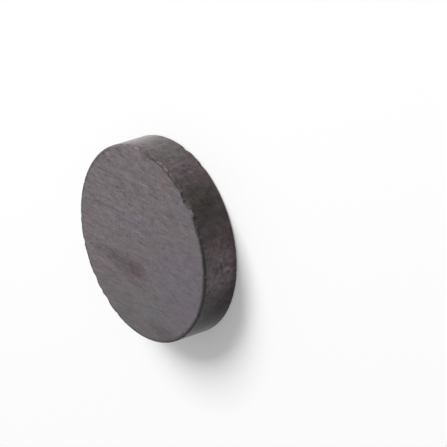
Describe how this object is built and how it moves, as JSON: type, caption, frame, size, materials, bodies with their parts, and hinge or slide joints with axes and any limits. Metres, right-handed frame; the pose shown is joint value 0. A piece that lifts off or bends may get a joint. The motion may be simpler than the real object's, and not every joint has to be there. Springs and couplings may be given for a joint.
{
  "type": "disc magnet",
  "caption": "Flat round disc magnet of dark sintered ferrite, with ground faces, lightly broken edges and small edge chips; holds to steel, or stacks, by either face.",
  "frame": {"origin": "centre of the lower face, where the disc rests", "axes": "+Z along the magnet's axis, out of the upper face; -Y is the side of the rim nearest the picture's viewpoint"},
  "size_m": [0.025, 0.025, 0.005],
  "materials": {
    "ferrite": "matte, ground flat on both faces, as sintered on the rim"
  },
  "bodies": {
    "root": {"ferrite_disc": "ferrite"}
  },
  "joints": []
}
